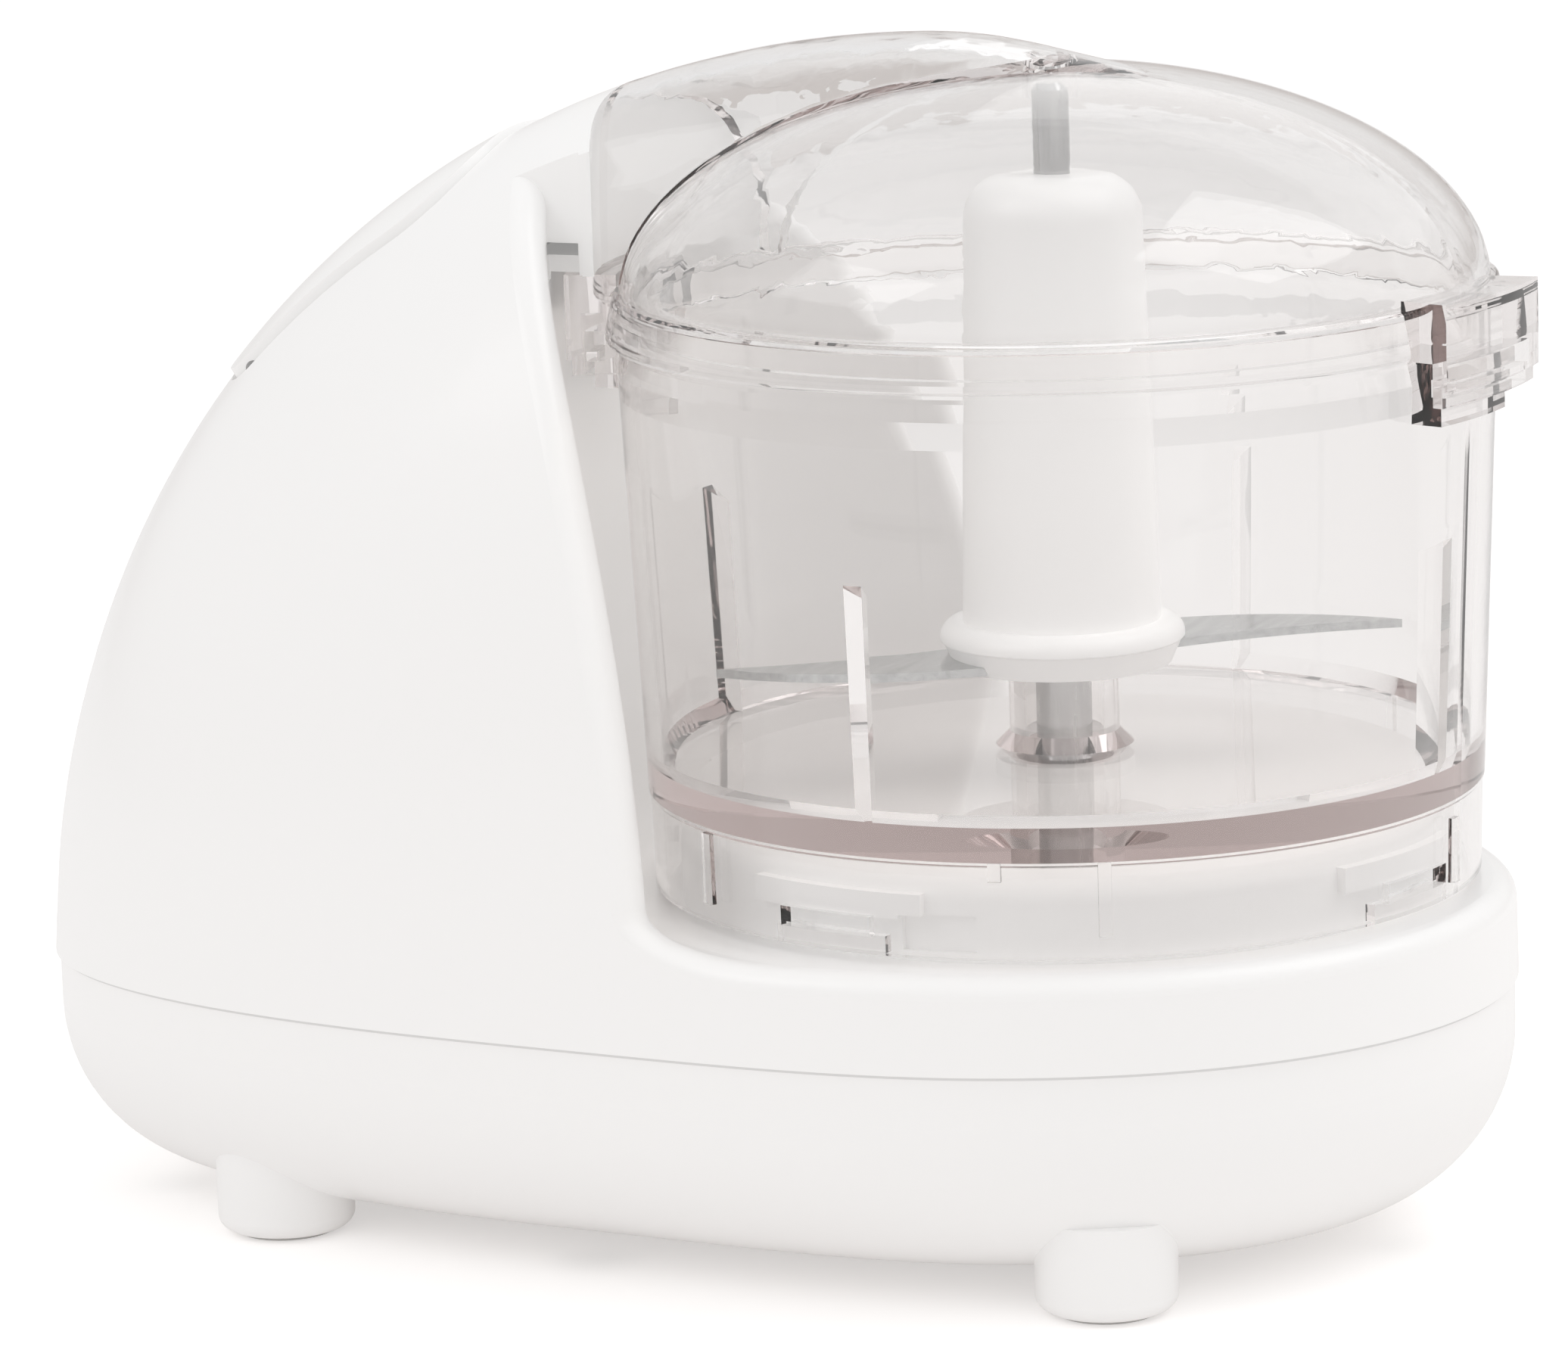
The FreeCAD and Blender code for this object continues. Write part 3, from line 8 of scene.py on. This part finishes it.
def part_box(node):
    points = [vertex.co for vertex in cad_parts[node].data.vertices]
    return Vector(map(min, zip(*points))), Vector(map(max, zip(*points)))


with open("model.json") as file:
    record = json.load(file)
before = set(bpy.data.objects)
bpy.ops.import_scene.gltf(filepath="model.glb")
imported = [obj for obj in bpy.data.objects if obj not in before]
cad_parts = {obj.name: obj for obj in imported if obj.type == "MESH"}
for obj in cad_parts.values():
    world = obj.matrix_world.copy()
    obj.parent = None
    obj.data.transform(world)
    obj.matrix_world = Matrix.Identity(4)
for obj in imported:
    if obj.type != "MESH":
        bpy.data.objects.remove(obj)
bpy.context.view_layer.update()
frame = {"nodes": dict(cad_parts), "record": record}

# Metres, +X from the motor housing to the bowl, +Z up, the floor at z = 0.
MM = 0.001
spindle_low, spindle_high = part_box("drive_spindle")
BOWL_X = (spindle_low.x + spindle_high.x) / 2
PARTING_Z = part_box("lower_housing")[1].z


# ---------------------------------------------------------------- camera, lights and floor
FLOOR_WIDTH = 14.0
FLOOR_LIFT = 0.28    # light that the floor seems to add where it is seen directly


def add_camera():
    """A long lens to the right of the front, a little raised, turned and rolled."""
    azimuth = math.radians(23.1)
    distance = 0.9948
    height = 0.2798
    yaw = math.radians(2.3)
    pitch = math.radians(11.3)
    roll = math.radians(-1.8)
    heading = azimuth + yaw
    level = Vector((-math.sin(heading), math.cos(heading), 0))
    forward = level * math.cos(pitch) - Vector((0, 0, math.sin(pitch)))
    right = forward.cross(Vector((0, 0, 1))).normalized()
    up = right.cross(forward)
    rolled_right = right * math.cos(roll) + up * math.sin(roll)
    rolled_up = up * math.cos(roll) - right * math.sin(roll)
    data = bpy.data.cameras.new("view_camera")
    data.sensor_width = 36.0
    data.lens = 162.9
    data.clip_start = 0.05
    data.clip_end = 20.0
    camera = bpy.data.objects.new("view_camera", data)
    place = Vector((BOWL_X + distance * math.sin(azimuth), -distance * math.cos(azimuth), height))
    turn = Matrix((rolled_right, rolled_up, -forward)).transposed()
    camera.matrix_world = Matrix.Translation(place) @ turn.to_4x4()
    bpy.context.scene.collection.objects.link(camera)
    bpy.context.scene.camera = camera


def add_softbox(name, place, aim, size, power):
    """A rectangular area light that faces a point."""
    data = bpy.data.lights.new(name, "AREA")
    data.shape = "RECTANGLE"
    data.size, data.size_y = size
    data.energy = power
    light = bpy.data.objects.new(name, data)
    light.location = place
    light.rotation_euler = (Vector(aim) - Vector(place)).to_track_quat("-Z", "Y").to_euler()
    bpy.context.scene.collection.objects.link(light)


def add_world():
    """A pale room: bright overhead, greyer and a little warm towards the horizon."""
    world = bpy.data.worlds.new("studio")
    world.use_nodes = True
    tree = world.node_tree
    place = tree.nodes.new("ShaderNodeTexCoord")
    split = tree.nodes.new("ShaderNodeSeparateXYZ")
    ramp = tree.nodes.new("ShaderNodeValToRGB")
    low, high = ramp.color_ramp.elements
    low.position = 0.02
    low.color = (0.66, 0.61, 0.585, 1)
    high.position = 0.55
    high.color = (1.0, 1.0, 1.0, 1)
    middle = ramp.color_ramp.elements.new(0.16)
    middle.color = (0.96, 0.94, 0.925, 1)
    tree.links.new(place.outputs["Generated"], split.inputs["Vector"])
    tree.links.new(split.outputs["Z"], ramp.inputs["Fac"])
    tree.links.new(ramp.outputs["Color"], tree.nodes["Background"].inputs["Color"])
    tree.nodes["Background"].inputs["Strength"].default_value = 0.8
    bpy.context.scene.world = world


def add_studio():
    """A pale world, four soft boxes and a pale floor."""
    add_world()
    add_softbox("key_light", (-0.75, -0.85, 1.05), (0, 0, 0.08), (0.9, 0.7), 2.1)
    add_softbox("fill_light", (1.1, -0.55, 0.85), (0.03, 0, 0.08), (0.7, 0.9), 0.4)
    add_softbox("side_light", (0.7, 0.25, 1.1), (0.03, 0, 0.08), (0.9, 0.8), 3.0)
    add_softbox("back_light", (0.15, 1.1, 0.85), (0, 0, 0.1), (1.4, 0.6), 0.8)
    bpy.ops.mesh.primitive_plane_add(size=FLOOR_WIDTH, location=(0, 0, 0))
    floor = bpy.context.object
    floor.name = "floor"
    floor.data.materials.append(floor_paper())


def floor_paper():
    """White paper that is lifted towards plain white for the camera, but sends no extra light on."""
    material = bpy.data.materials.new("floor_paper")
    material.use_nodes = True
    tree = material.node_tree
    shader = tree.nodes["Principled BSDF"]
    shader.inputs["Base Color"].default_value = (0.935, 0.915, 0.905, 1)
    shader.inputs["Roughness"].default_value = 0.6
    shader.inputs["Emission Color"].default_value = (1, 1, 1, 1)
    path = tree.nodes.new("ShaderNodeLightPath")
    lift = tree.nodes.new("ShaderNodeMath")
    lift.operation = "MULTIPLY"
    lift.inputs[1].default_value = FLOOR_LIFT
    tree.links.new(path.outputs["Is Camera Ray"], lift.inputs[0])
    tree.links.new(lift.outputs["Value"], shader.inputs["Emission Strength"])
    return material


# ---------------------------------------------------------------- materials
# Noise scales are per metre, and bump depths are in metres.
TONE_SCALE = 9.0
GLOSS_SCALE = 30.0
RIPPLE_SCALE = 160.0
RIPPLE_STRENGTH = 0.08
RIPPLE_DEPTH = 0.00005
FLOW_SCALE = 45.0
FLOW_STRENGTH = 0.03
FLOW_DEPTH = 0.0004
BRUSH_SCALE = 900.0
BRUSH_STRENGTH = 0.1
BRUSH_DEPTH = 0.00003
COAT_ROUGHNESS = 0.12
# strength of the painted glow: emission that lightens the white plastic, which is no lamp
PAINTED_GLOW_STRENGTH = 0.05
CLEAR_IOR = 1.46
CLEAR_ROUGHNESS = 0.015
LAMP_PASS = (1.13, 1.12, 1.11)       # for lamp light through one face of the clear plastic
EDGE_COLOUR = (0.55, 0.42, 0.4)      # of thick clear plastic seen edge-on
# width and darkening of the painted shadow along the parting line of the housings
PARTING_WIDTH = 0.5 * MM
PARTING_SHADOW_FACTOR = 0.72


def new_material(name):
    """A node material, its tree and its main shader."""
    material = bpy.data.materials.new(name)
    material.use_nodes = True
    tree = material.node_tree
    return material, tree, tree.nodes["Principled BSDF"]


def noise(tree, scale, detail, stretch=(1, 1, 1)):
    """Noise in object space, from 0 to 1."""
    place = tree.nodes.new("ShaderNodeTexCoord")
    mapping = tree.nodes.new("ShaderNodeMapping")
    mapping.inputs["Scale"].default_value = stretch
    texture = tree.nodes.new("ShaderNodeTexNoise")
    texture.inputs["Scale"].default_value = scale
    texture.inputs["Detail"].default_value = detail
    tree.links.new(place.outputs["Object"], mapping.inputs["Vector"])
    tree.links.new(mapping.outputs["Vector"], texture.inputs["Vector"])
    return texture.outputs["Fac"]


def spread(tree, value, low, high):
    """Spread a 0-1 value over a range."""
    node = tree.nodes.new("ShaderNodeMapRange")
    node.inputs["To Min"].default_value = low
    node.inputs["To Max"].default_value = high
    tree.links.new(value, node.inputs["Value"])
    return node.outputs["Result"]


def tint(tree, value, dark, light):
    """A colour that runs between two tones with a 0-1 value."""
    ramp = tree.nodes.new("ShaderNodeValToRGB")
    ramp.color_ramp.elements[0].position = 0.3
    ramp.color_ramp.elements[0].color = (*dark, 1)
    ramp.color_ramp.elements[1].position = 0.7
    ramp.color_ramp.elements[1].color = (*light, 1)
    tree.links.new(value, ramp.inputs["Fac"])
    return ramp.outputs["Color"]


def bump(tree, shader, height, strength, distance):
    """Bump the surface with a height."""
    node = tree.nodes.new("ShaderNodeBump")
    node.inputs["Strength"].default_value = strength
    node.inputs["Distance"].default_value = distance
    tree.links.new(height, node.inputs["Height"])
    tree.links.new(node.outputs["Normal"], shader.inputs["Normal"])


def moulded_surface(tree, shader, rough):
    """Faint gloss variation over a shallow ripple."""
    gloss = spread(tree, noise(tree, GLOSS_SCALE, 0.0), rough * 0.92, rough * 1.08)
    tree.links.new(gloss, shader.inputs["Roughness"])
    bump(tree, shader, noise(tree, RIPPLE_SCALE, 1.0), RIPPLE_STRENGTH, RIPPLE_DEPTH)


def moulded(name, dark, light, rough):
    """Dark or grey moulding or rubber, with a faint variation of tone."""
    material, tree, shader = new_material(name)
    tone = tint(tree, noise(tree, TONE_SCALE, 0.0), dark, light)
    tree.links.new(tone, shader.inputs["Base Color"])
    shader.inputs["Coat Roughness"].default_value = COAT_ROUGHNESS
    moulded_surface(tree, shader, rough)
    return material


def paint_parting_shadow(tree, shader, colour):
    """Paint a fine shadow line, a darker colour, at the joint between the upper and the lower housing,
    where shade falls into the seam.
    """
    place = tree.nodes.new("ShaderNodeTexCoord")
    split = tree.nodes.new("ShaderNodeSeparateXYZ")
    line = tree.nodes.new("ShaderNodeMath")
    line.operation = "COMPARE"
    line.inputs[1].default_value = PARTING_Z - PARTING_WIDTH / 2
    line.inputs[2].default_value = PARTING_WIDTH / 2
    mix = tree.nodes.new("ShaderNodeMix")
    mix.data_type = "RGBA"
    mix.inputs["A"].default_value = (*colour, 1)
    mix.inputs["B"].default_value = (*[PARTING_SHADOW_FACTOR * channel for channel in colour], 1)
    tree.links.new(place.outputs["Object"], split.inputs["Vector"])
    tree.links.new(split.outputs["Z"], line.inputs[0])
    tree.links.new(line.outputs["Value"], mix.inputs["Factor"])
    tree.links.new(mix.outputs["Result"], shader.inputs["Base Color"])


def white(name, colour, rough, coat=0.0, with_parting_shadow=False):
    """Evenly coloured white plastic with a painted glow, an emission that lightens it though it is no
    lamp, and a painted shadow along the parting line where that is asked for.
    """
    material, tree, shader = new_material(name)
    shader.inputs["Base Color"].default_value = (*colour, 1)
    shader.inputs["Emission Color"].default_value = (*colour, 1)
    # painted glow: the plastic gives off light of its own colour
    shader.inputs["Emission Strength"].default_value = PAINTED_GLOW_STRENGTH
    shader.inputs["Coat Weight"].default_value = coat
    shader.inputs["Coat Roughness"].default_value = COAT_ROUGHNESS
    moulded_surface(tree, shader, rough)
    if with_parting_shadow:
        # paint a shadow line along the parting of the housings
        paint_parting_shadow(tree, shader, colour)
    return material


def clear(name, colour, density):
    """Clear moulded plastic with a trace of flow marks, darker where it is thick."""
    material, tree, shader = new_material(name)
    shader.inputs["Base Color"].default_value = (*colour, 1)
    shader.inputs["Transmission Weight"].default_value = 1.0
    shader.inputs["IOR"].default_value = CLEAR_IOR
    shader.inputs["Roughness"].default_value = CLEAR_ROUGHNESS
    bump(tree, shader, noise(tree, FLOW_SCALE, 1.0, (1, 1, 0.35)), FLOW_STRENGTH, FLOW_DEPTH)
    let_lamps_in(tree, shader)
    absorb = tree.nodes.new("ShaderNodeVolumeAbsorption")
    absorb.inputs["Color"].default_value = (*EDGE_COLOUR, 1)
    absorb.inputs["Density"].default_value = density
    tree.links.new(absorb.outputs["Volume"], tree.nodes["Material Output"].inputs["Volume"])
    return material


def let_lamps_in(tree, shader):
    """Let the lamps' light straight through, a little brightened, to what the plastic encloses."""
    path = tree.nodes.new("ShaderNodeLightPath")
    pass_on = tree.nodes.new("ShaderNodeBsdfTransparent")
    pass_on.inputs["Color"].default_value = (*LAMP_PASS, 1)
    mix = tree.nodes.new("ShaderNodeMixShader")
    tree.links.new(path.outputs["Is Shadow Ray"], mix.inputs["Fac"])
    tree.links.new(shader.outputs["BSDF"], mix.inputs[1])
    tree.links.new(pass_on.outputs["BSDF"], mix.inputs[2])
    tree.links.new(mix.outputs["Shader"], tree.nodes["Material Output"].inputs["Surface"])


def metal(name, dark, light, rough, stretch=(1, 1, 1), scale=BRUSH_SCALE):
    """Metal with fine brushed or turned lines."""
    material, tree, shader = new_material(name)
    lines = noise(tree, scale, 4.0, stretch)
    tree.links.new(tint(tree, lines, dark, light), shader.inputs["Base Color"])
    tree.links.new(spread(tree, lines, rough * 0.75, rough * 1.3), shader.inputs["Roughness"])
    shader.inputs["Metallic"].default_value = 1.0
    bump(tree, shader, lines, BRUSH_STRENGTH, BRUSH_DEPTH)
    return material


SHELL_WHITE = (0.93, 0.926, 0.921)
HUB_WHITE = (0.95, 0.945, 0.94)
CLEAR_TINT = (0.992, 0.99, 0.988)
ALONG_Y = (1, 0.08, 1)     # noise stretched into lines along an axis
ALONG_Z = (1, 1, 0.1)
WOUND = (1, 0.05, 1)
FLAT_SHEETS = (0.02, 0.02, 1)
MATERIALS = {
    # the housing's white carries the painted glow and the painted shadow along its parting line
    "white_shell": white("white_shell", SHELL_WHITE, 0.31, coat=0.25, with_parting_shadow=True),
    "white_pad": white("white_pad", SHELL_WHITE, 0.31, coat=0.25),
    "white_foot": white("white_foot", SHELL_WHITE, 0.34),
    "foot_rubber": moulded("foot_rubber", (0.5, 0.5, 0.49), (0.56, 0.56, 0.55), 0.7),
    "clear_bowl": clear("clear_bowl", CLEAR_TINT, 15.0),
    "clear_lid": clear("clear_lid", CLEAR_TINT, 10.0),
    "white_hub": white("white_hub", HUB_WHITE, 0.32, coat=0.2),
    "blade_steel": metal("blade_steel", (0.44, 0.45, 0.45), (0.56, 0.57, 0.57), 0.2, ALONG_Y),
    "pin_steel": metal("pin_steel", (0.4, 0.4, 0.4), (0.5, 0.5, 0.5), 0.12, ALONG_Z),
    "shaft_steel": metal("shaft_steel", (0.5, 0.5, 0.5), (0.6, 0.6, 0.6), 0.25, ALONG_Z),
    "plated_steel": metal("plated_steel", (0.52, 0.52, 0.5), (0.62, 0.62, 0.6), 0.32),
    "drive_plastic": moulded("drive_plastic", (0.03, 0.03, 0.03), (0.05, 0.05, 0.05), 0.5),
    "belt_rubber": moulded("belt_rubber", (0.02, 0.02, 0.02), (0.03, 0.03, 0.03), 0.75),
    "bush_bronze": metal("bush_bronze", (0.46, 0.31, 0.16), (0.56, 0.4, 0.22), 0.4),
    "lamination": metal("lamination", (0.2, 0.2, 0.22), (0.34, 0.34, 0.36), 0.45, FLAT_SHEETS, 1800.0),
    "copper_wire": metal("copper_wire", (0.42, 0.16, 0.06), (0.58, 0.25, 0.1), 0.3, WOUND, 1400.0),
    "commutator_copper": metal("commutator_copper", (0.6, 0.28, 0.14), (0.72, 0.38, 0.2), 0.25),
    "frame_alloy": metal("frame_alloy", (0.56, 0.56, 0.56), (0.66, 0.66, 0.66), 0.5),
    "carbon": moulded("carbon", (0.02, 0.02, 0.02), (0.04, 0.04, 0.04), 0.55),
    "black_moulding": moulded("black_moulding", (0.02, 0.02, 0.02), (0.03, 0.03, 0.03), 0.42),
    "grey_rubber": moulded("grey_rubber", (0.16, 0.16, 0.16), (0.2, 0.2, 0.2), 0.7),
}
SHARP_ANGLE = math.radians(32)


def dress_frame():
    """Give every CAD node the material of its slot, and smooth its curved faces."""
    for part in frame["record"]["subparts"]:
        node = frame["nodes"][part["node"]]
        node.data.materials.clear()
        node.data.materials.append(MATERIALS[part["material_slot"]])
        for face in node.data.polygons:
            face.use_smooth = True
        node.data.set_sharp_from_angle(angle=SHARP_ANGLE)


def set_look():
    """A light tone curve, and enough bounces for light to find its way through the clear plastic."""
    many, fewer = 32, 12
    scene = bpy.context.scene
    scene.view_settings.view_transform = "Standard"
    scene.view_settings.gamma = 1.2
    scene.cycles.max_bounces = many
    scene.cycles.diffuse_bounces = fewer
    scene.cycles.glossy_bounces = many
    scene.cycles.transmission_bounces = many


add_camera()
add_studio()
dress_frame()
set_look()
